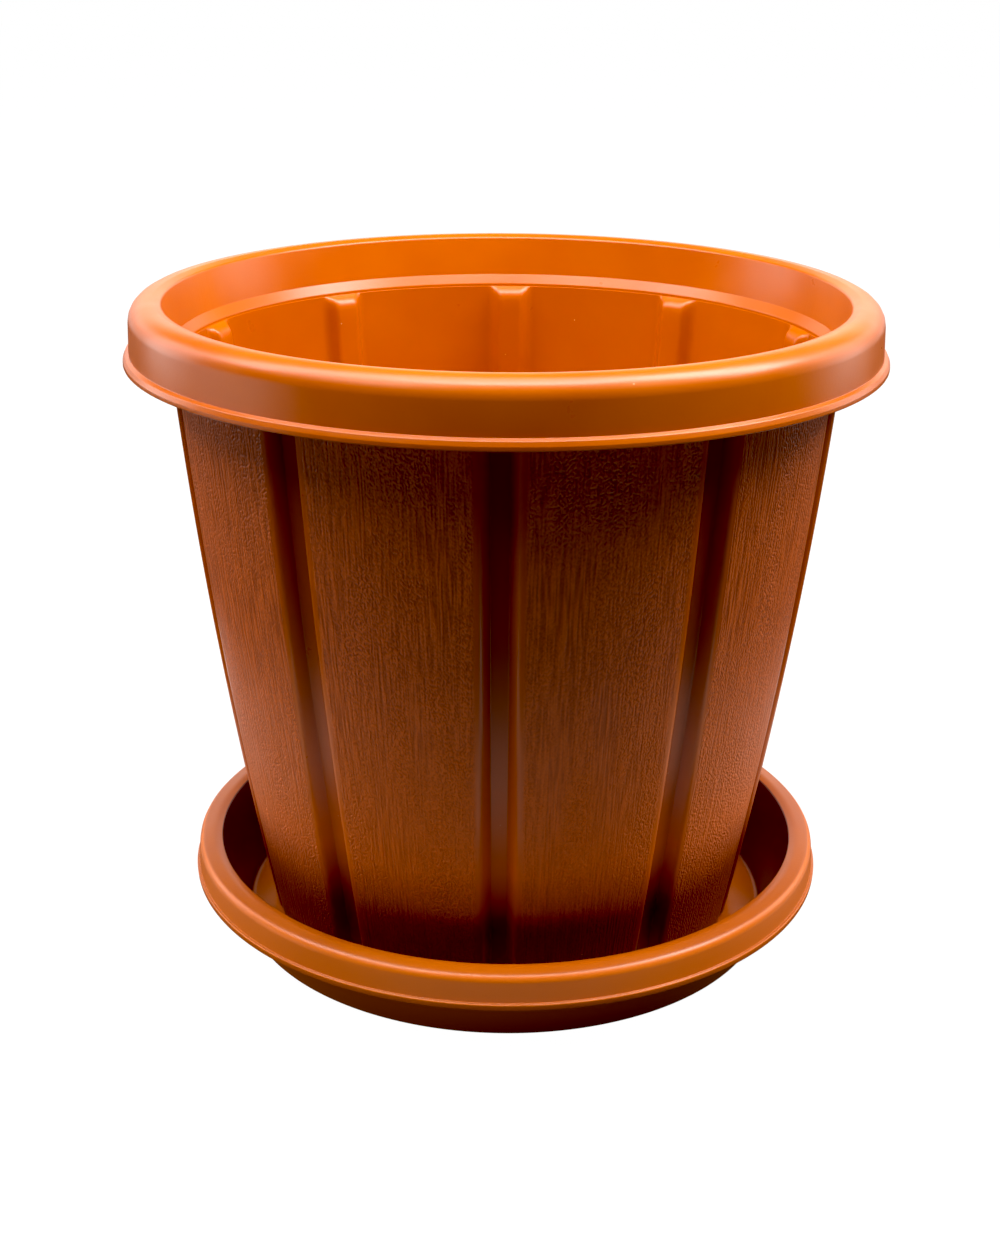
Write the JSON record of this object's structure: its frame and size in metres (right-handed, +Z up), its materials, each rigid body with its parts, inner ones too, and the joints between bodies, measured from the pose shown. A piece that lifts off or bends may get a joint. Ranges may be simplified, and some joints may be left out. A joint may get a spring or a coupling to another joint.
{
  "type": "plant pot with saucer",
  "caption": "Round tapered plastic plant pot with vertical flutes and a turned-down collar, standing loose in a matching water saucer.",
  "frame": {"origin": "on the pot's axis, at the level that the saucer stands on; the saucer's own middle is 1.2 mm towards +X, because the pot stands loose in it", "axes": "+Z up along the axis of the pot; -Y is the front, where one flute faces"},
  "size_m": [0.3002, 0.3002, 0.2676],
  "materials": {
    "pot_plastic": "satin gloss on the collar and flutes, fine grain on the panels",
    "saucer_plastic": "satin gloss"
  },
  "bodies": {
    "saucer": {"saucer_floor": "saucer_plastic", "saucer_wall": "saucer_plastic", "saucer_lip": "saucer_plastic", "saucer_skirt": "saucer_plastic"},
    "pot": {"pot_wall": "pot_plastic", "pot_floor": "pot_plastic", "pot_band": "pot_plastic", "pot_lip": "pot_plastic", "pot_skirt": "pot_plastic"}
  },
  "joints": [
    {"name": "pot_lift", "type": "slide", "parent": "saucer", "child": "pot", "axis": [0, 0, 1], "range_m": [0, 0.06]}
  ]
}
